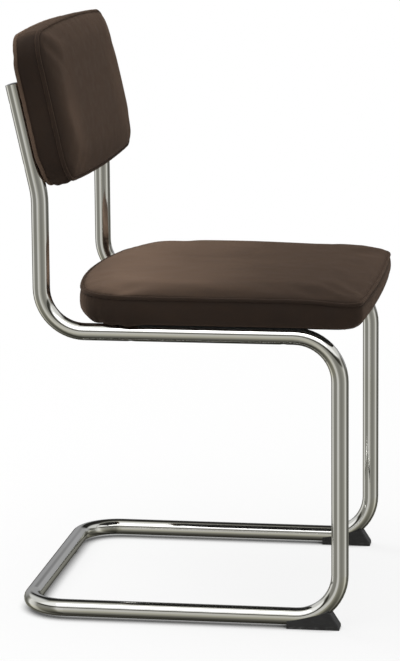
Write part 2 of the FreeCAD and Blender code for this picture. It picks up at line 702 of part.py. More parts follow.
SEAT = Cushion(
    "seat",
    "seat_depth",
    "seat_front_bow",
    "seat_rear_bow",
    "seat_front_corner",
    "seat_rear_corner",
    size("seat_tilt"),
    ((0, 5.5), (0.1, 2.2), (0.42, 0), (0.78, 0.9), (1, SEAM_INSET)),
)
BACK = Cushion(
    "back",
    "back_height",
    "back_bottom_bow",
    "back_top_bow",
    "back_corner",
    "back_corner",
    0,
    ((0, SEAM_INSET), (0.22, 0.9), (0.5, 0), (0.78, 0.9), (1, SEAM_INSET)),
)


def place_seat(body):
    """Seats a piece that was drawn in the seat's frame on top of the rails."""
    centre = size("seat_depth") / 2 - HALF_DEPTH
    body.Placement = Placement(Vector(0, centre, size("rail_height") + TUBE), Rotation())
    cells = {
        "Placement.Base.y": "Sizes.seat_depth / 2 - Sizes.overall_depth / 2",
        "Placement.Base.z": "Sizes.rail_height + Sizes.tube_od / 2",
    }
    bind_placement(body, cells)
    return body


def place_back(body):
    """Leans a piece that was drawn in the back's frame against the front of the sloped tubes."""
    up = size("back_bottom") + size("back_height") / 2
    body.Placement = Placement(SLOPE_FRAME.multVec(Vector(0, up, TUBE)), SLOPE_FRAME.Rotation)
    sine, cosine = "sin(Sizes.lean_angle * 1 deg)", "cos(Sizes.lean_angle * 1 deg)"
    up_cell = "(Sizes.back_bottom + Sizes.back_height / 2)"
    cells = {
        "Placement.Base.y": f"{UPRIGHT_Y_CELL} + {up_cell} * {sine} - Sizes.tube_od / 2 * {cosine}",
        "Placement.Base.z": f"Sizes.kink_height + {up_cell} * {cosine} + Sizes.tube_od / 2 * {sine}",
    }
    bind_placement(body, cells)
    return body


def screw_rows(cushion):
    """Screw places in a cushion's own frame: [(y, cell of the distance)]."""
    if cushion is SEAT:
        centre = size("seat_depth") / 2 - HALF_DEPTH
        front, rear = (place for place, _ in seat_screw_places())
        middle = "(Sizes.seat_depth / 2 - Sizes.overall_depth / 2)"
        return [
            (front - centre, f"{middle} - ({LEG_Y_CELL} + Sizes.seat_screw_front)"),
            (rear - centre, f"({LEG_Y_CELL} + Sizes.seat_screw_rear) - {middle}"),
        ]
    centre = size("back_bottom") + size("back_height") / 2
    middle = "(Sizes.back_bottom + Sizes.back_height / 2)"
    return [
        (size("back_screw_low") - centre, f"{middle} - Sizes.back_screw_low"),
        (size("back_screw_high") - centre, f"Sizes.back_screw_high - {middle}"),
    ]


def rounds(body, cushion, name, radius_cell, radius, level, level_cell):
    """The four screw places as circles at one level of a cushion."""
    plane = Placement(Vector(0, 0, level), Rotation())
    cells = {"AttachmentOffset.Base.z": level_cell}
    return mirrored_holes(body, name, screw_rows(cushion), radius_cell, radius, plane, cells)


def screw_clearance(body, cushion, level, level_cell, length_cell):
    """Holes for the screws through a thin layer, cut upwards from its lower side."""
    cell = "Sizes.screw_radius + Sizes.screw_play"
    radius = size("screw_radius") + size("screw_play")
    holes = rounds(body, cushion, "screw_hole", cell, radius, level, level_cell)
    pocket(body, holes, "screw_holes", length_cell, reverse=True)


# Height of the lower side of the boards above the tubes
BOARD_LEVEL = size("lining") + size("cover")
BOARD_CELL = "(Sizes.lining + Sizes.cover)"


def make_board(label, cushion, place):
    """Plywood board with stepped holes that take the threaded inserts."""
    body = make_body(label)
    thickness_cell = f"Sizes.{cushion.prefix}_board"
    cushion.slab(body, "plate", BOARD_LEVEL, BOARD_CELL, thickness_cell, BOARD_INSET)
    top, top_cell = BOARD_LEVEL + size(f"{cushion.prefix}_board"), f"{BOARD_CELL} + {thickness_cell}"
    barrel = rounds(body, cushion, "barrel", "Sizes.nut_radius", size("nut_radius"), top, top_cell)
    pocket(body, barrel, "barrel_holes", f"{thickness_cell} + Sizes.overrun")
    flange_radius = size("nut_flange_radius")
    flange = rounds(body, cushion, "flange", "Sizes.nut_flange_radius", flange_radius, top, top_cell)
    pocket(body, flange, "flange_steps", "Sizes.nut_flange")
    return place(body)


def make_inserts(label, cushion, place):
    """Four flanged threaded inserts, flush with the inner side of the board."""
    body = make_body(label)
    top = BOARD_LEVEL + size(f"{cushion.prefix}_board")
    top_cell = f"{BOARD_CELL} + Sizes.{cushion.prefix}_board"
    flange_radius = size("nut_flange_radius")
    flange = rounds(body, cushion, "flange", "Sizes.nut_flange_radius", flange_radius, top, top_cell)
    pad(body, flange, "flanges", "Sizes.nut_flange", reverse=True)
    barrel = rounds(body, cushion, "barrel", "Sizes.nut_radius", size("nut_radius"), top, top_cell)
    pad(body, barrel, "barrels", "Sizes.nut_height", reverse=True)
    bore_cell = "Sizes.screw_radius + Sizes.thread_gap"
    bore_radius = size("screw_radius") + size("thread_gap")
    bore = rounds(body, cushion, "bore", bore_cell, bore_radius, top, top_cell)
    pocket(body, bore, "bores", "Sizes.nut_height + Sizes.overrun")
    return place(body)


def make_screws(label, cushion, place):
    """Four button-head screws: each head sits inside the tube, on the wall next to the board."""
    body = make_body(label)
    head = size("screw_head_radius")
    level = math.sqrt(BORE**2 - head**2) - TUBE
    bore_cell = "(Sizes.tube_od / 2 - Sizes.tube_wall)"
    level_cell = f"sqrt({bore_cell}^2 - Sizes.screw_head_radius^2) - Sizes.tube_od / 2"
    heads = rounds(body, cushion, "head", "Sizes.screw_head_radius", head, level, level_cell)
    pad(body, heads, "heads", "Sizes.screw_head_height", reverse=True)
    shank = size("screw_radius")
    shanks = rounds(body, cushion, "shank", "Sizes.screw_radius", shank, level, level_cell)
    pad(body, shanks, "shanks", f"Sizes.{cushion.prefix}_screw_length")
    low, low_cell = level - size("screw_head_height"), f"{level_cell} - Sizes.screw_head_height"
    socket = size("screw_socket") / 2
    sockets = rounds(body, cushion, "socket", "Sizes.screw_socket / 2", socket, low, low_cell)
    pocket(body, sockets, "sockets", "Sizes.screw_socket / 2", reverse=True)
    return place(body)


def make_band(label, cushion, place):
    """Side strip of the cover, drawn in at both of its edges."""
    body = make_body(label)
    levels = list(cushion.band_levels())
    cushion.loft(body, "AdditiveLoft", "outside", levels)
    inner = lowered(levels, 0, "0", size("cover"))
    if cushion is SEAT:
        # The seat's strip is turned under its board, where the screws pass through it.
        height, cell, scale, inset, tilt = inner[0]
        inner[0] = (height + size("cover"), f"{cell} + Sizes.cover", scale, inset - HEM_INSET, tilt)
    cushion.loft(body, "SubtractiveLoft", "inside", inner)
    if cushion is SEAT:
        height, cell = levels[0][:2]
        opening = cushion.outline(body, "opening", height, cell, size("seat_opening"))
        cut = feature(body, "Pocket", "opening_cut", Profile=opening, Reversed=True)
        cut.setExpression("Length", "Sizes.cover + Sizes.overrun")
        screw_clearance(body, cushion, height, cell, "Sizes.cover + Sizes.overrun")
    return place(body)


def make_face(label, cushion, place):
    """Padded face of the cover: a crowned skin."""
    body = make_body(label)
    levels = list(cushion.crown_levels())
    cushion.loft(body, "AdditiveLoft", "outside", levels)
    inner = lowered(levels[:1], 0, "0", size("cover")) + lowered(
        levels[1:], size("cover"), "Sizes.cover", size("cover")
    )
    cushion.loft(body, "SubtractiveLoft", "inside", inner)
    return place(body)


def make_foam(label, cushion, place):
    """Foam pad that fills the cover and wraps the edge of the board."""
    body = make_body(label)
    band, crown = list(cushion.band_levels()), list(cushion.crown_levels())
    bottom = [(BOARD_LEVEL, BOARD_CELL, 1, SEAM_INSET, 0)]
    sides = lowered(bottom + band[2:], 0, "0", FOAM_INSET)
    cushion.loft(body, "AdditiveLoft", "sides", sides, ruled=True)
    swell = sides[-1:] + lowered(crown[1::2] + crown[-1:], 2 * size("cover"), "2 * Sizes.cover", FOAM_INSET)
    cushion.loft(body, "AdditiveLoft", "swell", swell, ruled=True)
    board = cushion.outline(body, "board_outline", BOARD_LEVEL, BOARD_CELL, 1, BOARD_INSET)
    cut = feature(body, "Pocket", "board_recess", Profile=board, Reversed=True)
    cut.setExpression("Length", f"Sizes.{cushion.prefix}_board")
    return place(body)


def make_welt(label, cushion, place, level, level_cell, tilt):
    """Piped edge: a fabric-covered cord sewn into a seam."""
    body = make_body(label)
    path = cushion.outline(body, "path", level, level_cell, 1, WELT_INSET, tilt)
    doc.recompute()
    ring = round_profile(body, "cord", path, {"Sizes.welt_radius": size("welt_radius")})
    doc.recompute()
    pipe(body, "AdditivePipe", "piping", path, ring)
    return place(body)


def make_sheet(label, cushion, place, thickness_cell, inset):
    """A flat cloth sheet against the tubes, with holes for the screws."""
    body = make_body(label)
    cushion.slab(body, "cloth", 0, "0", thickness_cell, inset)
    screw_clearance(body, cushion, 0, "0", f"{thickness_cell} + Sizes.overrun")
    return place(body)


def make_seat():
    """Seat cushion, from its lining on the rails up to the padded face."""
    return [
        make_sheet("seat_dust_cover", SEAT, place_seat, "Sizes.lining", LINING_INSET),
        make_board("seat_board", SEAT, place_seat),
        make_inserts("seat_threaded_inserts", SEAT, place_seat),
        make_screws("seat_screws", SEAT, place_seat),
        make_foam("seat_foam", SEAT, place_seat),
        make_band("seat_cover_band", SEAT, place_seat),
        make_face("seat_cover_top", SEAT, place_seat),
        make_welt("seat_welt", SEAT, place_seat, SEAT.seam, "Sizes.seat_seam", SEAT.tilt),
    ]


def make_back():
    """Back cushion, from its rear panel on the tubes out to the padded face."""
    rear_seam = size("welt_radius") + size("lining") / 3
    rear_cell = "Sizes.welt_radius + Sizes.lining / 3"
    panel_inset = WELT_INSET + size("welt_radius") + WELT_GAP
    return [
        make_sheet("back_cover_rear", BACK, place_back, BOARD_CELL, panel_inset),
        make_board("back_board", BACK, place_back),
        make_inserts("back_threaded_inserts", BACK, place_back),
        make_screws("back_screws", BACK, place_back),
        make_foam("back_foam", BACK, place_back),
        make_band("back_cover_band", BACK, place_back),
        make_face("back_cover_front", BACK, place_back),
        make_welt("back_front_welt", BACK, place_back, BACK.seam, "Sizes.back_seam", 0),
        make_welt("back_rear_welt", BACK, place_back, rear_seam, rear_cell, 0),
    ]


pieces = [make_tube_frame()]
for side_name, sign in (("left", 1), ("right", -1)):
    pieces.append(make_tube_cap(f"tube_cap_{side_name}", sign))
    pieces.append(make_front_glide(f"front_glide_{side_name}", sign))
    pieces.append(make_rear_glide(f"rear_glide_{side_name}", sign))
pieces += make_seat()
pieces += make_back()

doc.recompute()

for thing in doc.Objects:
    if "Invalid" in thing.State or "Error" in thing.State:
        raise RuntimeError(f"{thing.Label} failed to compute: {thing.State}")
for piece in pieces:
    if piece.Shape.isNull() or not piece.Shape.isValid():
        raise RuntimeError(f"{piece.Label} has no valid shape")

os.makedirs("parts", exist_ok=True)
for piece in pieces:
    piece.Shape.exportStep(f"parts/{piece.Label}.step")
    print(f"{piece.Label}: {len(piece.Shape.Solids)} solids, {piece.Shape.Volume:.0f} cubic millimetres")
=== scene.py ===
# %% [markdown]
# # A cantilever dining chair
# One chromed steel tube goes from the back down to the seat, down the front, round the floor and up again.
# It carries two velvet cushions. The tube, its caps, its glides and its screws arrive as finished solids, so
# this lesson gives them their finishes, and then makes what a solid modeller can't make well: padded fabric.
# Everything is in metres, +Z is up, and the sitter faces -Y.

# %% Load the frame
import json
import math

import bmesh
import bpy
from mathutils import Euler, Matrix, Quaternion, Vector, noise
from mathutils.kdtree import KDTree

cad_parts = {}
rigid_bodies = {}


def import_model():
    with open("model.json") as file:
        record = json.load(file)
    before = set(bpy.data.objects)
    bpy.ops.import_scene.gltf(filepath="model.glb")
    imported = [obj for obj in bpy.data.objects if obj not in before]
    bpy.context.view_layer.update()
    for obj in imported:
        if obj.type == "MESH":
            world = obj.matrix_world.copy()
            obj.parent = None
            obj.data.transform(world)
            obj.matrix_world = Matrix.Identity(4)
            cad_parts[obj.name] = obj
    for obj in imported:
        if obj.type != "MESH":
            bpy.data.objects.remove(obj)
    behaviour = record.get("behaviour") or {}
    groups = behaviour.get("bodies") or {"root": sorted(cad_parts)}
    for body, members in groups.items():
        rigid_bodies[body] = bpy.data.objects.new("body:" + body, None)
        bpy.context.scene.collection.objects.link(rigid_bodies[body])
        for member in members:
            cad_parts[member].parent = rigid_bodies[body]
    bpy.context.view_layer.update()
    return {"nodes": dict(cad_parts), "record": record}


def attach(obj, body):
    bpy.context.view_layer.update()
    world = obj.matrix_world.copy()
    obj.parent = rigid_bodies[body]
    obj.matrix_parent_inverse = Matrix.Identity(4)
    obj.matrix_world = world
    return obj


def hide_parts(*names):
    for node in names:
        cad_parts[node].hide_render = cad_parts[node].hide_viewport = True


for leftover in list(bpy.data.objects):
    bpy.data.objects.remove(leftover)
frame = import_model()
print("pieces in the frame:", len(frame["nodes"]))

# %% [markdown]
# ## The camera
# The chair was photographed from its side, from a little over seat height and a long way off, so the lens is
# long and the sides of the chair hardly converge. A camera in Blender looks along its own -Z, so it is first
# tipped up to look at the horizon, then turned to face the chair.

# %% Camera
CAMERA_PLACE = Vector((-3.8897, -0.6149, 1.1475))
CAMERA_TURN = math.radians(8.657)
CAMERA_TIP = math.radians(-9.207)
CAMERA_ROLL = math.radians(-0.413)

camera_data = bpy.data.cameras.new("camera")
camera_data.lens = 144.18
camera_data.shift_x = -0.04
camera_data.shift_y = -0.119
camera_data.clip_end = 200
camera = bpy.data.objects.new("camera", camera_data)
camera.location = CAMERA_PLACE
camera.rotation_mode = "QUATERNION"
aim = Euler((math.pi / 2 + CAMERA_TIP, 0, CAMERA_TURN - math.pi / 2)).to_quaternion()
camera.rotation_quaternion = aim @ Quaternion((0, 0, 1), CAMERA_ROLL)
bpy.context.scene.collection.objects.link(camera)
bpy.context.scene.camera = camera
bpy.context.scene.view_settings.view_transform = "Standard"
print("camera is", round(CAMERA_PLACE.length, 2), "metres from the foot of the chair")

# %% [markdown]
# ## Building a finish
# Every finish is a small network of nodes round one Principled shader. The helper below keeps the cells that
# follow short. All patterns read Object coordinates. Every piece has its origin at the foot of the chair, so
# a noise of scale 100 has grains of about a centimetre on every one of them.

# %% Finish helper
class Nodes:
    """Short ways to add nodes to a tree."""

    def __init__(self, tree):
        self.tree = tree

    def add(self, kind, links=None, **values):
        """A node. links and values name its inputs; a value may name a property of the node as well."""
        node = self.tree.nodes.new(kind)
        for key, value in values.items():
            if hasattr(node, key):
                setattr(node, key, value)
            else:
                node.inputs[key.replace("_", " ")].default_value = value
        for key, source in (links or {}).items():
            self.tree.links.new(source, node.inputs[key])
        return node

    def ramp(self, source, *stops):
        """Colours by the value of source: (position, (r, g, b)) each."""
        node = self.add("ShaderNodeValToRGB", {"Fac": source})
        points = node.color_ramp.elements
        while len(points) < len(stops):
            points.new(0.5)
        for point, (position, colour) in zip(points, stops):
            point.position = position
            point.color = (*colour, 1)
        return node.outputs["Color"]

    def levels(self, source, low, high, to_low, to_high):
        """Source between low and high, spread from to_low to to_high."""
        node = self.add("ShaderNodeMapRange", {"Value": source})
        for key, value in zip(("From Min", "From Max", "To Min", "To Max"), (low, high, to_low, to_high)):
            node.inputs[key].default_value = value
        return node.outputs["Result"]

    def mix(self, factor, first, second, blend="MIX"):
        node = self.add("ShaderNodeMix", data_type="RGBA", blend_type=blend)
        for socket, value in ((node.inputs[0], factor), (node.inputs[6], first), (node.inputs[7], second)):
            if isinstance(value, bpy.types.NodeSocket):
                self.tree.links.new(value, socket)
            else:
                socket.default_value = value
        return node.outputs[2]


class Finish(Nodes):
    """One material: its shader, and the patterns that feed it."""

    def __init__(self, name):
        self.material = bpy.data.materials.new(name)
        self.material.use_nodes = True
        super().__init__(self.material.node_tree)
        self.shader = self.tree.nodes["Principled BSDF"]
        self.place = self.add("ShaderNodeTexCoord").outputs["Object"]

    def grain(self, scale, detail=2.0, stretch=(1, 1, 1), distortion=0.0):
        """Noise in metres, longer along the axes whose stretch is small."""
        mapped = self.add("ShaderNodeMapping", {"Vector": self.place})
        mapped.inputs["Scale"].default_value = stretch
        links = {"Vector": mapped.outputs["Vector"]}
        node = self.add("ShaderNodeTexNoise", links, Scale=scale, Detail=detail, Distortion=distortion)
        return node.outputs["Fac"]

    def bump(self, height, distance, strength=1.0, after=None):
        links = {"Height": height}
        if after is not None:
            links["Normal"] = after
        node = self.add("ShaderNodeBump", links, Distance=distance, Strength=strength)
        return node.outputs["Normal"]

    def feed(self, **sockets):
        """Links or sets inputs of the shader."""
        for key, value in sockets.items():
            socket = self.shader.inputs[key.replace("_", " ")]
            if isinstance(value, bpy.types.NodeSocket):
                self.tree.links.new(value, socket)
            else:
                socket.default_value = value
        return self.material


# %% [markdown]
# ## The studio
# The chair stands on a pale floor that fades into a white backdrop. A shadow should show on the floor while
# the floor itself stays near white, so rays that come straight from the camera, or off metal, see a floor
# that partly glows, and all others see plain paint. Two metres away the glow is complete. Close under the
# tubes an occlusion node dims the glow, which paints a narrow dark shadow there beside the real one in the
# paint.

# %% Floor
def sees_backdrop(nodes):
    """1 for rays from the camera, and for rays off or through a shiny surface."""
    path = nodes.add("ShaderNodeLightPath")
    total = path.outputs["Is Camera Ray"]
    for name in ("Is Glossy Ray", "Is Transmission Ray"):
        larger = nodes.add("ShaderNodeMath", {0: total, 1: path.outputs[name]}, operation="MAXIMUM")
        total = larger.outputs["Value"]
    return total


FLOOR_SIZE = 40
FLOOR_PAINT = (0.82, 0.82, 0.815, 1)
GLOW_NEAR, GLOW_FAR = 0.82, 1.0
FADE_START, FADE_END = 0.45, 2.0
CONTACT_REACH = 0.030
CONTACT_DARK, CONTACT_CLEAR = 0.15, 0.75

floor_finish = Finish("floor_paint")
from_foot = floor_finish.add("ShaderNodeVectorMath", {0: floor_finish.place}, operation="LENGTH")
paint = floor_finish.add("ShaderNodeBsdfDiffuse", Color=FLOOR_PAINT)
# painted contact shadow: the glow dims where the occlusion node finds tubes close by
contact = floor_finish.add("ShaderNodeAmbientOcclusion", Distance=CONTACT_REACH, samples=16).outputs["AO"]
open_sky = floor_finish.levels(contact, CONTACT_DARK, CONTACT_CLEAR, 0, 1)
glow = floor_finish.add("ShaderNodeEmission", {"Strength": open_sky})
fade = floor_finish.levels(from_foot.outputs["Value"], FADE_START, FADE_END, GLOW_NEAR, GLOW_FAR)
partly = floor_finish.add("ShaderNodeMixShader", {"Fac": fade, 1: paint.outputs[0], 2: glow.outputs[0]})
either = floor_finish.add(
    "ShaderNodeMixShader", {"Fac": sees_backdrop(floor_finish), 1: paint.outputs[0], 2: partly.outputs[0]}
)
floor_out = floor_finish.tree.nodes["Material Output"]
floor_finish.tree.links.new(either.outputs[0], floor_out.inputs["Surface"])

floor_mesh = bmesh.new()
bmesh.ops.create_grid(floor_mesh, x_segments=1, y_segments=1, size=FLOOR_SIZE / 2)
floor_data = bpy.data.meshes.new("floor")
floor_mesh.to_mesh(floor_data)
floor_mesh.free()
floor_data.materials.append(floor_finish.material)
floor = bpy.data.objects.new("floor", floor_data)
floor.visible_glossy = False
bpy.context.scene.collection.objects.link(floor)
print("floor:", FLOOR_SIZE, "metres square")

# %% [markdown]
# ## What the chrome sees
# Chrome has no colour of its own: it shows the room. A plain white room would make it flat grey, so
# photographers stand white boards and black cloths round it. Here the world does that for reflected rays
# alone. Low down, bands of pale and dark go round the room, and become the long streaks on the legs. Overhead
# the camera's side is white and the far side dark, with a thin dark gap under the white, which gives the
# tubes that lie flat their black edge, white band and thin dark line. Looking down it grows dark, as under
# any chair. The floor itself isn't shown to reflected rays, because the bands stand in for it.

# %% Room for reflections
SKY_LIGHT = 0.42
CAMERA_SIDE = math.radians(174)

WHITE = (1, 1, 1)
WARM = (1, 0.99, 0.955)
OLIVE = (1, 0.983, 0.885)


def shade(level, tint=OLIVE):
    return tuple(level * part for part in tint)


# Degrees round from the camera's side, positive to the right of the picture, and the level there.
STREAKS = (
    (-180, 0.09), (-168, 0.10), (-158, 0.36), (-146, 0.30), (-134, 0.16), (-124, 0.30), (-115, 0.86),
    (-98, 0.66), (-86, 0.27), (-50, 0.22), (-42, 0.30), (-32, 0.64), (-22, 0.60), (-10, 0.50), (4, 0.24),
    (22, 0.21), (48, 0.28), (62, 0.40), (74, 0.76), (84, 0.60), (96, 0.20), (116, 0.10), (138, 0.12),
    (150, 0.36), (160, 0.30), (170, 0.10), (180, 0.09),
)
# Level from straight down, at 0, to the horizon, at 1.
DEPTH = ((0.0, 0.12), (0.14, 0.20), (0.3, 0.40), (0.46, 0.68), (0.6, 0.90))
# Level overhead from the camera's side, at 0, to the far side, at 1.
DOME = ((0.50, 0.62), (0.58, 0.22), (0.66, 0.05), (0.76, 0.02))
GAP_LEVEL = 0.16
FAR_WALL = (0.50, 0.50, 0.525, 1)

world = bpy.data.worlds.new("studio")
bpy.context.scene.world = world
world.use_nodes = True
world.node_tree.nodes.clear()
sky = Nodes(world.node_tree)
direction = sky.add("ShaderNodeTexCoord").outputs["Generated"]
east, north, up = sky.add("ShaderNodeSeparateXYZ", {0: direction}).outputs[:3]
turned = sky.add("ShaderNodeMapping", {"Vector": direction}, vector_type="VECTOR")
turned.inputs["Rotation"].default_value = (0, 0, CAMERA_SIDE)
round_room = sky.add("ShaderNodeTexGradient", {"Vector": turned.outputs[0]}, gradient_type="RADIAL")
streak_stops = [((angle + 180) / 360, shade(level, WARM if level > 0.5 else OLIVE)) for angle, level in STREAKS]
streaks = sky.ramp(round_room.outputs["Fac"], *streak_stops)
depth_stops = [(place, shade(level)) for place, level in DEPTH]
depth = sky.ramp(sky.levels(up, -1, 0, 0, 1), *depth_stops, (0.75, WHITE))
low = sky.mix(1.0, streaks, depth, "MULTIPLY")
across = sky.levels(east, -1, 1, 0, 1)
dome_stops = [(place, shade(level)) for place, level in DOME]
dome = sky.ramp(across, (0.0, WHITE), (0.36, WHITE), *dome_stops)
sideways = sky.add("ShaderNodeMath", {0: north}, operation="ABSOLUTE").outputs["Value"]
dome = sky.mix(1.0, dome, sky.ramp(sideways, (0.42, (0, 0, 0)), (0.60, (0.7, 0.7, 0.69))), "LIGHTEN")
wall = sky.mix(sky.levels(east, 0.55, 0.85, 0, 1), streaks, FAR_WALL)
high = sky.mix(sky.levels(up, 0.30, 0.42, 0, 1), wall, dome)
gap = sky.ramp(up, (0.13, WHITE), (0.19, shade(GAP_LEVEL)), (0.35, shade(GAP_LEVEL)), (0.42, WHITE))
near_side = sky.levels(east, -0.3, 0.1, 1, 0)
high = sky.mix(near_side, high, sky.mix(1.0, high, gap, "MULTIPLY"))
room = sky.mix(sky.levels(up, -0.02, 0.02, 0, 1), low, high)

# %% White for the camera, soft light for everything else
seen = sky.add("ShaderNodeLightPath").outputs["Is Camera Ray"]
shown = sky.add("ShaderNodeBackground", {"Color": sky.mix(seen, room, (1, 1, 1, 1))})
lighting = sky.add("ShaderNodeBackground", Color=(1, 1, 1, 1), Strength=SKY_LIGHT)
by_ray = {"Fac": sees_backdrop(sky), 1: lighting.outputs[0], 2: shown.outputs[0]}
choice = sky.add("ShaderNodeMixShader", by_ray)
sky.tree.links.new(choice.outputs[0], sky.add("ShaderNodeOutputWorld").inputs["Surface"])
print("nodes in the world:", len(sky.tree.nodes))

# %% Lamps
def soft_lamp(name, place, size, power, in_chrome=False):
    """A rectangular soft box that faces the middle of the chair."""
    data = bpy.data.lights.new(name, "AREA")
    data.shape = "RECTANGLE"
    data.size, data.size_y = size
    data.energy = power
    lamp = bpy.data.objects.new(name, data)
    lamp.location = place
    lamp.rotation_euler = (Vector((0, 0, 0.45)) - Vector(place)).to_track_quat("-Z", "Y").to_euler()
    lamp.visible_camera = False
    lamp.visible_glossy = in_chrome
    bpy.context.scene.collection.objects.link(lamp)
    print(name, "at", place)


soft_lamp("overhead_box", (0.3, 0.5, 2.9), (2.4, 2.4), 44)
soft_lamp("far_left_box", (1.5, 1.9, 1.7), (1.4, 1.2), 26)
soft_lamp("camera_side_box", (-1.7, -0.1, 2.1), (3.0, 1.0), 22, in_chrome=True)

# %% [markdown]
# ## Chrome
# Polished chrome is a mirror, a little greyer than silver. Where it turns right away from the eye, Layer
# Weight paints its colour darker: a painted shade along the edges of every tube. The plating is never
# perfect: broad, faint smears change its gloss, and hair-fine wiping marks run round the tube.

# %% Chrome finish
chrome = Finish("polished_chrome")
facing = chrome.add("ShaderNodeLayerWeight", Blend=0.5).outputs["Facing"]
# painted shade: the colour darkens towards the grazing edges
painted_edge_shade = chrome.ramp(
    facing,
    (0.0, (0.84, 0.84, 0.825)),
    (0.55, (0.80, 0.80, 0.78)),
    (0.72, (0.50, 0.50, 0.47)),
    (0.95, (0.16, 0.16, 0.15)),
)
smears = chrome.grain(14, detail=3)
wiping = chrome.grain(900, detail=2, stretch=(1, 1, 6))
tint = chrome.ramp(smears, (0.35, (0.96, 0.96, 0.93)), (0.65, (1, 1, 1)))
chrome.feed(
    Base_Color=chrome.mix(1.0, painted_edge_shade, tint, "MULTIPLY"),
    Metallic=1.0,
    Roughness=chrome.levels(smears, 0.3, 0.7, 0.03, 0.07),
    Normal=chrome.bump(wiping, 0.00002, 0.3),
)
print("chrome nodes:", len(chrome.tree.nodes))

# %% [markdown]
# ## Moulded plastic, lining and the hidden materials
# The glides are black plastic with the fine spark texture of their mould, scuffed where they touch the
# floor. The lining under the seat is a thin black cloth of pressed fibres. Boards, foam and screws hardly
# show, but each still gets its own grain, so that the chair can be taken apart.

# %% Glide finish
SCUFF_HEIGHT = 0.006

glide = Finish("glide_plastic")
spark = glide.grain(1500, detail=2)
scuffs = glide.grain(320, detail=4, stretch=(1, 0.3, 1), distortion=0.6)
height = glide.add("ShaderNodeSeparateXYZ", {0: glide.place}).outputs["Z"]
low_down = glide.levels(height, 0.0, SCUFF_HEIGHT, 1.0, 0.0)
scuffed = glide.levels(scuffs, 0.5, 0.66, 0, 1)
worn = glide.add("ShaderNodeMath", {0: low_down, 1: scuffed}, operation="MULTIPLY")
black = glide.ramp(scuffs, (0.3, (0.016, 0.016, 0.017)), (0.7, (0.026, 0.026, 0.027)))
glide.feed(
    Base_Color=glide.mix(worn.outputs[0], black, (0.10, 0.10, 0.10, 1)),
    Roughness=glide.levels(spark, 0.3, 0.7, 0.42, 0.6),
    Normal=glide.bump(spark, 0.00008, 0.5),
)

# %% Lining, wood, zinc and foam
lining = Finish("pressed_black_cloth")
fibres = lining.grain(1400, detail=5, stretch=(1, 0.4, 1))
dimples = lining.add("ShaderNodeTexVoronoi", {"Vector": lining.place}, Scale=700.0).outputs["Distance"]
lining.feed(
    Base_Color=lining.ramp(fibres, (0.3, (0.012, 0.012, 0.012)), (0.75, (0.035, 0.034, 0.033))),
    Roughness=0.92,
    Normal=lining.bump(dimples, 0.0002, 0.5, lining.bump(fibres, 0.0001, 0.4)),
)

WOOD_DARK, WOOD_MIDDLE, WOOD_PALE = (0.50, 0.33, 0.18), (0.64, 0.46, 0.28), (0.72, 0.55, 0.36)
wood = Finish("birch_plywood")
rings = wood.grain(26, detail=4, stretch=(6, 0.5, 6), distortion=1.2)
wood.feed(
    Base_Color=wood.ramp(rings, (0.3, WOOD_DARK), (0.5, WOOD_MIDDLE), (0.7, WOOD_PALE)),
    Roughness=0.62,
    Normal=wood.bump(rings, 0.0002, 0.3),
)

zinc = Finish("zinc_plated_steel")
spangle = zinc.grain(420, detail=3)
zinc.feed(
    Base_Color=zinc.ramp(spangle, (0.35, (0.50, 0.50, 0.50)), (0.65, (0.66, 0.66, 0.65))),
    Metallic=1.0,
    Roughness=zinc.levels(spangle, 0.3, 0.7, 0.22, 0.4),
)

foam = Finish("seat_foam")
cells = foam.add("ShaderNodeTexVoronoi", {"Vector": foam.place}, Scale=900.0).outputs["Distance"]
foam.feed(
    Base_Color=foam.ramp(cells, (0.0, (0.55, 0.50, 0.36)), (0.6, (0.80, 0.76, 0.62))),
    Roughness=0.95,
    Normal=foam.bump(cells, 0.0004, 0.6),
)
print("finishes so far:", [item.name for item in bpy.data.materials])

# %% [markdown]
# ## Velvet
# Velvet is a dense pile of short fibres. Seen along the surface it catches light on the sides of the
# fibres, so it looks paler there than where the eye looks into the pile: that is the shader's sheen. Light is
# also painted into its colour: an attribute, made later for each cushion, paints it pale where the light
# falls and nearly black elsewhere, and noise adds the marks of hands. The fabric sinks into every seam, and an
# attribute called seam paints shade into it there.

# %% Velvet finish
VELVET_PAINTED_SHADE = (0.0135, 0.0086, 0.0062, 1)
VELVET_DARK = (0.0190, 0.0122, 0.0088)
VELVET_MIDDLE = (0.036, 0.0232, 0.0160)
VELVET_LIGHT = (0.132, 0.0880, 0.0620)
UNEVENNESS = 0.16

velvet = Finish("brown_velvet")
brushed = velvet.grain(9, detail=3, stretch=(1, 0.7, 1), distortion=0.8)
hand_marks = velvet.grain(70, detail=4, stretch=(1, 0.6, 1), distortion=0.3)
pile = velvet.grain(1900, detail=2)
# painted light: this attribute makes the pile pale where the light falls on it and dark elsewhere
painted_light = velvet.add("ShaderNodeAttribute", attribute_name="painted_light").outputs["Fac"]
# painted shade: the velvet is darkened near every seam, fold and lump
painted_seam_shade = velvet.add("ShaderNodeAttribute", attribute_name="seam").outputs["Fac"]
uneven = velvet.mix(0.30, velvet.mix(0.35, brushed, hand_marks), pile)
marks = velvet.levels(uneven, 0.3, 0.7, -UNEVENNESS, UNEVENNESS)
marks_and_painted_light = velvet.add("ShaderNodeMath", {0: marks, 1: painted_light}, operation="ADD")
pile_colour = velvet.ramp(marks_and_painted_light.outputs[0], (0.0, VELVET_DARK), (0.35, VELVET_MIDDLE), (0.95, VELVET_LIGHT))
velvet.feed(
    Base_Color=velvet.mix(velvet.levels(painted_seam_shade, 0, 1, 0, 0.5), pile_colour, VELVET_PAINTED_SHADE),
    Roughness=velvet.levels(hand_marks, 0.3, 0.7, 0.75, 0.95),
    Specular_IOR_Level=0.12,
    Sheen_Weight=0.16,
    Sheen_Roughness=0.45,
    Sheen_Tint=(0.80, 0.53, 0.37, 1),
    Normal=velvet.bump(pile, 0.0003, 0.5, velvet.bump(hand_marks, 0.0005, 0.3)),
)
print("velvet nodes:", len(velvet.tree.nodes))

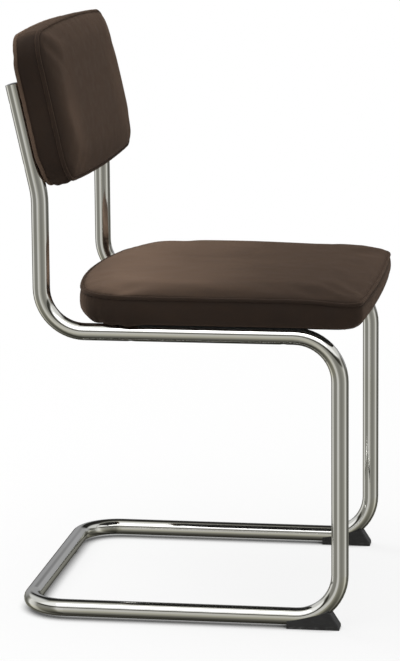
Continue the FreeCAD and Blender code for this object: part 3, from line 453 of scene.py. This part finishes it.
# %% [markdown]
# ## The outline of a cushion
# Seen from above, a cushion is a rectangle with round corners and ends that bow outwards. It starts as a
# grid of a single face. Beveling a corner point rounds it, the long edges are divided so that they can
# bend, and each point near an end is moved by how far it is from the middle.

# %% Cushion plans
class Plan:
    """The outline of one cushion, lying flat and centred, and the matrix that puts it in its place."""

    def __init__(self, width, depth, low_corner, high_corner, low_bow, high_bow, place):
        self.half_width = width / 2
        self.half_depth = depth / 2
        self.ends = {-1: (low_corner, low_bow), 1: (high_corner, high_bow)}
        self.place = place


# The seat lies on the rails. The back leans on the sloped tubes.
RAIL_TOP = 0.440
LEAN = math.radians(12.25)
SEAT = Plan(0.498, 0.4455, 0.030, 0.086, 0.0060, 0.0208, Matrix.Translation((0, -0.03575, RAIL_TOP)))
BACK = Plan(
    0.498, 0.235, 0.042, 0.042, 0.0052, 0.0062,
    Matrix.Translation((0, 0.22513, 0.74393)) @ Matrix.Rotation(math.pi / 2 - LEAN, 4, "X"),
)

NEAR = 1e-5
STEP = 0.006
CORNER_SEGMENTS = 12
BOW_TURN = 0.77


def plan_face(mesh, plan):
    """One flat face with the outline of the plan."""
    bmesh.ops.create_grid(mesh, x_segments=1, y_segments=1, size=1)
    bmesh.ops.scale(mesh, vec=(plan.half_width, plan.half_depth, 1), verts=mesh.verts)
    for side, (corner, _) in plan.ends.items():
        tips = [vert for vert in mesh.verts if vert.co.y * side > plan.half_depth - NEAR]
        rounding = {"offset": corner, "segments": CORNER_SEGMENTS, "profile": 0.5}
        bmesh.ops.bevel(mesh, geom=tips, affect="VERTICES", material=-1, **rounding)
    long_edges = [edge for edge in mesh.edges if edge.calc_length() > 3 * STEP]
    for edge in long_edges:
        bmesh.ops.subdivide_edges(mesh, edges=[edge], cuts=int(edge.calc_length() / STEP))
    for vert in mesh.verts:
        side = 1 if vert.co.y > 0 else -1
        corner, bow = plan.ends[side]
        turn = plan.half_width - BOW_TURN * corner
        outward = min(1, abs(vert.co.y) / (plan.half_depth - corner))
        vert.co.y -= side * bow * min(1, abs(vert.co.x) / turn) ** 2 * outward


trial = bmesh.new()
plan_face(trial, SEAT)
print("points round the seat:", len(trial.verts))
trial.free()

# %% [markdown]
# ## The unfilled cushion
# From that outline the cushion grows ring by ring: the edges are extruded, moved up and drawn in. The side
# strip bulges between its two seams, and the face swells from its seam towards a nearly flat middle. The
# seat's seam dips a little at its front, while the top of its padding stays level.

# %% Seam dip
def ease(value, low, high):
    """0 below low, 1 above high, and smooth between."""
    part = min(1, max(0, (value - low) / (high - low)))
    return part * part * (3 - 2 * part)


def seat_dip(y):
    """How far the seat's upper seam stands above its nominal height, by the place from front to rear."""
    return 0.0013 - 0.0053 * ease(-y, 0.122, 0.222)


def level(_):
    return 0.0


def lift(co, seam, dip):
    """The same point, moved by the dip of the seam above it. The top of the crown stays level."""
    above = 1 - 0.85 * ease(co.z, seam + 0.0025, seam + 0.0105)
    return co.z + dip(co.y) * above * min(1, max(0, co.z / seam))


print("the seat's seam dips by", round(1000 * (seat_dip(0) - seat_dip(-SEAT.half_depth)), 1), "mm at the front")

# %% Cushion block
# Share of the plan, and share of the crown's height reached there: steep beside the seam, then level.
CROWN = (
    (1, 0), (0.990, 0.28), (0.978, 0.48), (0.960, 0.67), (0.93, 0.83),
    (0.89, 0.93), (0.83, 0.98), (0.74, 0.99), (0.60, 1.0), (0.30, 1.0),
)
SEAM_INSET = 0.0052
LIP_INSET = 0.0038
LIP_RISE = 0.0024


def cushion_rings(start, band, seam, crown):
    """Rings as (height, inset, share of the plan). band: (height, inset) each."""
    rings = [(height, inset, 1) for height, inset in band]
    rings.append((seam, SEAM_INSET, 1))
    for share, rise in CROWN:
        rings.append((seam + LIP_RISE + (crown - LIP_RISE) * rise, LIP_INSET, share))
    return [start] + rings


def cushion_block(name, plan, rings, seam, dip):
    """A closed, crowned form with the cushion's outline."""
    mesh = bmesh.new()
    plan_face(mesh, plan)
    rim = list(mesh.edges)
    height, width, depth = 0, plan.half_width, plan.half_depth
    moved = list(mesh.verts)
    for number, (new_height, inset, share) in enumerate(rings):
        if number:
            grown = bmesh.ops.extrude_edge_only(mesh, edges=rim)["geom"]
            moved = [item for item in grown if isinstance(item, bmesh.types.BMVert)]
            fresh = set(moved)
            edges = [item for item in grown if isinstance(item, bmesh.types.BMEdge)]
            rim = [edge for edge in edges if fresh.issuperset(edge.verts)]
        new_width, new_depth = plan.half_width * share - inset, plan.half_depth * share - inset
        bmesh.ops.scale(mesh, vec=(new_width / width, new_depth / depth, 1), verts=moved)
        bmesh.ops.translate(mesh, vec=(0, 0, new_height - height), verts=moved)
        height, width, depth = new_height, new_width, new_depth
    bmesh.ops.edgeloop_fill(mesh, edges=rim)
    for vert in mesh.verts:
        vert.co.z = lift(vert.co, seam, dip)
    bmesh.ops.recalc_face_normals(mesh, faces=mesh.faces)
    data = bpy.data.meshes.new(name)
    mesh.to_mesh(data)
    mesh.free()
    block = bpy.data.objects.new(name, data)
    bpy.context.scene.collection.objects.link(block)
    print(name, "starts with", len(data.polygons), "faces")
    return block


# %% [markdown]
# ## Filling it
# Real padding pushes the cover outwards until the seams stop it. The same thing is simulated: the block is
# remeshed into even squares, the points on the seams are pinned, and the cloth is blown up with a gentle
# pressure. How far a point may move is capped, so that the cushion keeps its size. Velvet is thick, so the
# finest wrinkles are smoothed away. Without the pins the seams would wander, and a plain displacement would
# give every cushion the same dull dome.

# %% Fill with cloth simulation
FRAMES = 20
CALM_STEPS = 7
PRESSURE = 4.0
FURTHEST_MOVE = 0.0045


def applied(thing):
    """Replaces an object's mesh by the one its modifiers make."""
    bpy.context.view_layer.update()
    graph = bpy.context.evaluated_depsgraph_get()
    made = bpy.data.meshes.new_from_object(thing.evaluated_get(graph))
    old = thing.data
    thing.modifiers.clear()
    thing.data = made
    bpy.data.meshes.remove(old)
    made.name = thing.name


def remesh(thing, voxel):
    even = thing.modifiers.new("even", "REMESH")
    even.mode = "VOXEL"
    even.voxel_size = voxel
    applied(thing)


def fill(thing, pinned, voxel):
    """Blows the cushion up between its pinned points. No point moves further than FURTHEST_MOVE."""
    remesh(thing, voxel)
    pins = thing.vertex_groups.new(name="sewn")
    pins.add([vert.index for vert in thing.data.vertices if pinned(vert.co)], 1, "REPLACE")
    start = [vert.co.copy() for vert in thing.data.vertices]
    cloth = thing.modifiers.new("filling", "CLOTH")
    cloth.settings.use_pressure = True
    cloth.settings.uniform_pressure_force = PRESSURE
    cloth.settings.effector_weights.gravity = 0
    cloth.settings.vertex_group_mass = "sewn"
    cloth.settings.quality = 5
    cloth.settings.tension_stiffness = 25
    cloth.settings.compression_stiffness = 25
    cloth.settings.shear_stiffness = 8
    cloth.settings.bending_stiffness = 1.5
    cloth.point_cache.frame_start = 1
    cloth.point_cache.frame_end = FRAMES
    for number in range(1, FRAMES + 1):
        bpy.context.scene.frame_set(number)
    applied(thing)
    bpy.context.scene.frame_set(1)
    furthest = 0
    for vert, first in zip(thing.data.vertices, start):
        step = vert.co - first
        furthest = max(furthest, step.length)
        if step.length > FURTHEST_MOVE:
            vert.co = first + step * (FURTHEST_MOVE / step.length)
    free = {vert.index for vert in thing.data.vertices if not pinned(vert.co)}
    thing.vertex_groups.clear()
    calm = bmesh.new()
    calm.from_mesh(thing.data)
    loose = [vert for vert in calm.verts if vert.index in free]
    for _ in range(CALM_STEPS):
        bmesh.ops.smooth_vert(calm, verts=loose, factor=0.5, use_axis_x=True, use_axis_y=True, use_axis_z=True)
    calm.to_mesh(thing.data)
    calm.free()
    finer = thing.modifiers.new("finer", "SUBSURF")
    finer.levels = finer.render_levels = 1
    applied(thing)
    print(thing.name, "swelled by up to", round(furthest * 1000, 1), "mm")


# %% [markdown]
# ## Seams
# A remesh wipes out anything narrower than its squares, so the seams are pressed in afterwards. A seam is a
# line of points. Every point of the cushion near that line is drawn inwards, with small uneven puckers, as
# the thread pulls the pile together. Where the depth is negative the surface is pushed out instead: that
# makes the lumps of a folded cover. Near every line, lumps included, an attribute called seam paints shade.

# %% Press seams into the cushion
def outline_loop(plan, inset, height):
    """The plan's outline as a ring of points, moved in by inset, with height(point) as its level."""
    mesh = bmesh.new()
    plan_face(mesh, plan)
    scale = ((plan.half_width - inset) / plan.half_width, (plan.half_depth - inset) / plan.half_depth, 1)
    bmesh.ops.scale(mesh, vec=scale, verts=mesh.verts)
    ring = [vert.co.copy() for vert in mesh.faces[:][0].verts]
    mesh.free()
    for point in ring:
        point.z = height(point)
    return ring


def press_seams(thing, seams):
    """Draws the surface in along lines of points and paints shade near them. seams: (points, reach, depth,
    pucker) each.
    """
    mesh = thing.data
    mesh.update()
    normals = [vert.normal.copy() for vert in mesh.vertices]
    attribute = mesh.attributes.new("seam", "FLOAT", "POINT")
    painted_shades = [0.0] * len(mesh.vertices)
    for points, reach, depth, pucker in seams:
        tree = KDTree(len(points))
        for number, point in enumerate(points):
            tree.insert(point, number)
        tree.balance()
        for vert in mesh.vertices:
            distance = tree.find(vert.co)[2]
            if distance > 3 * reach:
                continue
            fold = noise.noise(vert.co * 95) * pucker * (1 - distance / (3 * reach)) ** 2
            sink = depth * max(0, 1 - distance / reach) ** 1.5
            vert.co -= normals[vert.index] * (sink + fold)
            # painted shade: darker the nearer the point lies to a seam, fold or lump
            painted_shades[vert.index] = max(painted_shades[vert.index], max(0, 1 - distance / (1.6 * reach)))
    attribute.data.foreach_set("value", painted_shades)
    mesh.update()


def paint_light(thing, painted_level):
    """Writes the painted light of the pile, from 0 to 1, by the given function of point and normal."""
    thing.data.update()
    painted_light = thing.data.attributes.new("painted_light", "FLOAT", "POINT")
    painted_light.data.foreach_set("value", [painted_level(vert.co, vert.normal) for vert in thing.data.vertices])


def dress(thing, plan, finish, slot_name, *nodes):
    """Puts a finished piece in its place, gives it its finish and lets it stand for CAD nodes."""
    thing.data.transform(plan.place)
    thing.data.materials.clear()
    thing.data.materials.append(finish.material)
    for face in thing.data.polygons:
        face.use_smooth = True
    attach(thing, "root")
    if nodes:
        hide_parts(*nodes)
    print(thing.name, "has", len(thing.data.polygons), "faces")


# %% [markdown]
# ## Piping
# A seam of these cushions is piped: a cord wrapped in the same velvet is sewn between the two panels. A
# curve with a round bevel is the natural tool, because it follows the seam exactly. It becomes a mesh, and
# its surface is roughened a little, as the wrapped strip has folds where it goes round the corners.

# %% Piping helper
PIPE_RADIUS = 0.0029
PIPE_INSET = 0.0042
PIPE_WAVE = 0.00035


def piping(name, plan, ring, node, painted_level=0.1):
    """A cord along a ring of points, standing for one CAD node."""
    curve = bpy.data.curves.new(name, "CURVE")
    curve.dimensions = "3D"
    curve.bevel_depth = PIPE_RADIUS
    curve.bevel_resolution = 3
    curve.resolution_u = 2
    line = curve.splines.new("NURBS")
    line.points.add(len(ring) - 1)
    for spot, point in zip(line.points, ring):
        spot.co = (*point, 1)
    line.order_u = 3
    line.use_cyclic_u = True
    shaper = bpy.data.objects.new(name, curve)
    bpy.context.scene.collection.objects.link(shaper)
    bpy.context.view_layer.update()
    data = bpy.data.meshes.new_from_object(shaper.evaluated_get(bpy.context.evaluated_depsgraph_get()))
    bpy.data.objects.remove(shaper)
    mesh = bmesh.new()
    mesh.from_mesh(data)
    bmesh.ops.remove_doubles(mesh, verts=mesh.verts, dist=NEAR)
    bmesh.ops.recalc_face_normals(mesh, faces=mesh.faces)
    for vert in mesh.verts:
        vert.co += vert.normal * noise.noise(vert.co * 130) * PIPE_WAVE
    mesh.to_mesh(data)
    mesh.free()
    cord = bpy.data.objects.new(name, data)
    bpy.context.scene.collection.objects.link(cord)
    paint_light(cord, lambda point, normal: painted_level)
    dress(cord, plan, velvet, "velvet", node)
    return cord


# %% [markdown]
# ## The seat
# The seat is broad and shallow: 498 by 446 mm, 39 mm from the rails to its seam, and about 14 mm more in
# the middle. Its lower edge is turned under the board.

# %% Seat cushion
SEAT_SEAM = 0.039
SEAT_CROWN = 0.0122
SEAT_UNDERSIDE = (0.0008, 0.0062, 1)
SEAT_BAND = ((0.0044, 0.0026), (0.0120, 0.0008), (0.0215, 0.0), (0.0300, 0.0008), (0.0360, 0.0030))
SEWN_REACH = 0.0030


def seat_height(point):
    return SEAT_SEAM + seat_dip(point.y)


def sewn_seat(co):
    return co.z < 0.0014 or abs(co.z - seat_height(co)) < SEWN_REACH


seat_rings = cushion_rings(SEAT_UNDERSIDE, SEAT_BAND, SEAT_SEAM, SEAT_CROWN)
seat = cushion_block("seat_cushion", SEAT, seat_rings, SEAT_SEAM, seat_dip)
fill(seat, sewn_seat, voxel=0.0055)

# %% [markdown]
# The side strip is one long piece, and its ends meet in an upright join near each rear corner. Under the two
# front corners the cover is folded, which makes small lumps. At the rear corners it hangs a little fuller.

# %% Seat seams and folds
JOIN_PLACE = (0.2335, 0.1860)
FRONT_FOLDS = ((0.227, -0.190), (0.219, -0.199))
REAR_BULGES = ((0.241, 0.120), (0.232, 0.148), (0.215, 0.170))


def both_sides(places, height):
    """A point at each place, and its mirror image."""
    return [Vector((side * x, y, height)) for side in (-1, 1) for x, y in places]


seat_seam_line = outline_loop(SEAT, PIPE_INSET, seat_height)
join_lines = []
for join in both_sides([JOIN_PLACE], SEAT_SEAM):
    nearest = min(seat_seam_line, key=lambda point: (point - join).xy.length_squared)
    join_lines += [Vector((nearest.x, nearest.y, 0.002 + 0.0014 * step)) for step in range(25)]
press_seams(
    seat,
    [
        (seat_seam_line, 0.0062, 0.0012, 0.0006),
        (join_lines, 0.0032, 0.0010, 0.0004),
        (both_sides(FRONT_FOLDS, 0.001), 0.0075, -0.0032, 0.0004),
        (both_sides(REAR_BULGES, 0.006), 0.0280, -0.0040, 0.0),
    ],
)
print("points along the seat's seam:", len(seat_seam_line))

# %% [markdown]
# The rails are harder than the padding. Wherever the cushion would sink into one of them, its surface is
# pushed straight out of the tube.

# %% Rest the seat on the rails
RAIL_SIDE = 0.2275
RAIL_START, RAIL_END = -0.127, 0.237
RAIL_RADIUS = 0.0125
RAIL_CLEARANCE = 0.0001


def rest_on_rails(thing):
    """Presses the cushion in wherever it would sink into the two rails under it."""
    pressed = 0
    for vert in thing.data.vertices:
        out = Vector((abs(vert.co.x) - RAIL_SIDE, 0, vert.co.z + RAIL_RADIUS))
        if RAIL_START < vert.co.y < RAIL_END and out.length < RAIL_RADIUS + RAIL_CLEARANCE:
            push = out.normalized() * (RAIL_RADIUS + RAIL_CLEARANCE) - out
            vert.co += Vector((math.copysign(push.x, push.x * vert.co.x), 0, push.z))
            pressed += 1
    print("points pressed in by the rails:", pressed)


rest_on_rails(seat)

# %% [markdown]
# Light is painted into the seat's pile: pale at its rear, where the light rakes it, and darker towards the
# front.

# %% Seat nap and piping
def seat_painted_light(point, normal):
    """Painted light: pale towards the rear of the face and where it looks up, dark on the side strip."""
    # painted light: paler towards the rear and on faces that look up
    to_rear = 0.50 * ease(point.y, -0.17, 0.12) + 0.28 * ease(point.y, 0.06, 0.16)
    return 0.11 + max(0, normal.z) ** 6 * (0.06 + to_rear)


paint_light(seat, seat_painted_light)
dress(seat, SEAT, velvet, "velvet", "seat_cover_top", "seat_cover_band", "seat_foam")
piping("seat_piping", SEAT, seat_seam_line, "seat_welt")

# %% [markdown]
# ## The back
# The back is the same kind of cushion, smaller and leaning. It has two piped seams. The rear one is pressed
# against the tubes, and beside them it bulges past their front, so its path steps back there.

# %% Back cushion
BACK_SEAM = 0.0355
BACK_REAR_SEAM = 0.0026
BACK_CROWN = 0.0124
BACK_UNDERSIDE = (0.0004, 0.0064, 1)
BACK_BAND = ((0.0052, 0.0030), (0.0113, 0.0012), (0.0191, 0.0004), (0.0270, 0.0012), (0.0325, 0.0032))


def back_height(point):
    return BACK_SEAM


def rear_height(point):
    """Level of the rear seam: it steps back beside the tubes."""
    beside = min(1, max(0, (abs(point.x) - 0.2425) / 0.003))
    between_ends = min(1, max(0, (0.085 - abs(point.y)) / 0.02))
    return BACK_REAR_SEAM - 0.0034 * beside * between_ends


def step_back(thing):
    """Lets the rear edge bulge back beside the tubes, to meet its seam."""
    for vert in thing.data.vertices:
        vert.co.z -= (BACK_REAR_SEAM - rear_height(vert.co)) * (1 - ease(vert.co.z, 0.0, 0.014))


def sewn_back(co):
    return co.z < 0.0046 or abs(co.z - BACK_SEAM) < SEWN_REACH


back_rings = cushion_rings(BACK_UNDERSIDE, BACK_BAND, BACK_SEAM, BACK_CROWN)
back = cushion_block("back_cushion", BACK, back_rings, BACK_SEAM, level)
fill(back, sewn_back, voxel=0.0050)
step_back(back)

# %% [markdown]
# The back's cover is folded at its two lower corners. Its face is painted dark, with a painted paler stripe of
# light beside each end.

# %% Back seams, nap and piping
def back_painted_light(point, normal):
    """Painted light: dark, but for a paler stripe where the face turns towards its side edges."""
    # painted light: paler stripe near each end, darker towards the top, stronger where the face looks up
    beside = ease(abs(point.x), 0.10, 0.17) * (1 - ease(abs(point.x), 0.205, 0.24))
    beside *= 1 - 0.7 * ease(point.y, -0.02, 0.10)
    return 0.07 + max(0, normal.z) ** 4 * (0.36 * beside - 0.04 - 0.05 * ease(point.y, 0.0, 0.10))


front_line = outline_loop(BACK, PIPE_INSET, back_height)
rear_line = outline_loop(BACK, PIPE_INSET, rear_height)
lower_corners = [(0.212, -0.1130)]
press_seams(
    back,
    [
        (front_line, 0.0062, 0.0012, 0.0006),
        (rear_line, 0.0045, 0.0008, 0.0004),
        (both_sides(lower_corners, 0.013) + both_sides(lower_corners, 0.027), 0.0160, -0.0036, 0.0003),
    ],
)
paint_light(back, back_painted_light)
dress(back, BACK, velvet, "velvet", "back_cover_front", "back_cover_band", "back_foam", "back_cover_rear")
piping("back_front_piping", BACK, front_line, "back_front_welt")
# painted highlight: the rear piping is painted pale along the back's rear rim
piping("back_rear_piping", BACK, rear_line, "back_rear_welt", painted_level=0.68)

# %% [markdown]
# ## Under the seat
# The lining is a flat sheet stapled to the board. It has the seat's outline, a little smaller, and sags by
# a millimetre or two between its staples, which noise on a divided face gives.

# %% Lining
LINING_INSET = 0.012
LINING_THICKNESS = 0.0005
FLAT_MARGIN_X, FLAT_MARGIN_Y = 0.030, 0.045
SAG = 0.0012
SAG_SLOPE = 0.03

lining_mesh = bmesh.new()
plan_face(lining_mesh, SEAT)
lining_scale = (
    (SEAT.half_width - LINING_INSET) / SEAT.half_width,
    (SEAT.half_depth - LINING_INSET) / SEAT.half_depth,
    1,
)
bmesh.ops.scale(lining_mesh, vec=lining_scale, verts=lining_mesh.verts)
lining_area = sum(face.calc_area() for face in lining_mesh.faces)
for axis, reach in ((Vector((1, 0, 0)), SEAT.half_width), (Vector((0, 1, 0)), SEAT.half_depth)):
    for cut in range(-11, 12):
        bmesh.ops.bisect_plane(
            lining_mesh,
            geom=lining_mesh.verts[:] + lining_mesh.edges[:] + lining_mesh.faces[:],
            dist=NEAR,
            plane_co=axis * reach * cut / 12,
            plane_no=axis,
        )
for vert in lining_mesh.verts:
    inside = min(1, max(0, (SEAT.half_width - FLAT_MARGIN_X - abs(vert.co.x)) / SAG_SLOPE))
    inside *= min(1, max(0, (SEAT.half_depth - FLAT_MARGIN_Y - abs(vert.co.y)) / SAG_SLOPE))
    vert.co.z -= inside * (SAG + SAG * noise.noise(vert.co * 14))
bmesh.ops.solidify(lining_mesh, geom=lining_mesh.faces[:], thickness=LINING_THICKNESS)
bmesh.ops.recalc_face_normals(lining_mesh, faces=lining_mesh.faces)
bmesh.ops.translate(lining_mesh, vec=(0, 0, 0.0001), verts=lining_mesh.verts)
lining_data = bpy.data.meshes.new("seat_lining")
lining_mesh.to_mesh(lining_data)
lining_mesh.free()
lining_sheet = bpy.data.objects.new("seat_lining", lining_data)
bpy.context.scene.collection.objects.link(lining_sheet)
dress(lining_sheet, SEAT, lining, "black_cloth", "seat_dust_cover")

print("lining area:", round(lining_area, 4), "square metres")

# %% [markdown]
# The staples follow the lining's edge, 34 mm apart. There are none over the
# rails, where a stapler couldn't reach.

# %% Staples
STAPLE = (0.0100, 0.0012, 0.0006)
STAPLE_GAP = 0.034
STAPLE_INSET = 0.008
BESIDE_RAILS = 0.205

staple_mesh = bmesh.new()
edge_ring = outline_loop(SEAT, LINING_INSET + STAPLE_INSET, level)
travelled = 0
for here, there in zip(edge_ring, edge_ring[1:] + edge_ring[:1]):
    travelled += (there - here).length
    if travelled < STAPLE_GAP or abs(here.x) > BESIDE_RAILS:
        continue
    travelled = 0
    along = math.atan2(there.y - here.y, there.x - here.x)
    place = Matrix.Translation((here.x, here.y, -0.0002)) @ Matrix.Rotation(along, 4, "Z")
    made = bmesh.ops.create_cube(staple_mesh, size=1, matrix=place @ Matrix.Diagonal((*STAPLE, 1)))
    corners = list({edge for vert in made["verts"] for edge in vert.link_edges})
    bmesh.ops.bevel(
        staple_mesh, geom=corners, offset=0.0002, segments=1, profile=0.5, affect="EDGES", material=-1
    )
staple_data = bpy.data.meshes.new("seat_staples")
staple_mesh.to_mesh(staple_data)
staple_mesh.free()
staples = bpy.data.objects.new("seat_staples", staple_data)
bpy.context.scene.collection.objects.link(staples)
dress(staples, SEAT, zinc, "zinc_steel")

# %% [markdown]
# ## Finishes on the frame
# The solids keep their shapes. Each gets the finish of its own material.

# %% Dress the frame
FINISHES = {
    "chrome": chrome,
    "glide_plastic": glide,
    "black_cloth": lining,
    "plywood": wood,
    "zinc_steel": zinc,
    "foam": foam,
    "velvet": velvet,
}
for part in frame["record"]["subparts"]:
    node = frame["nodes"][part["node"]]
    node.data.materials.clear()
    node.data.materials.append(FINISHES[part["material_slot"]].material)
print("dressed", len(frame["nodes"]), "solids")
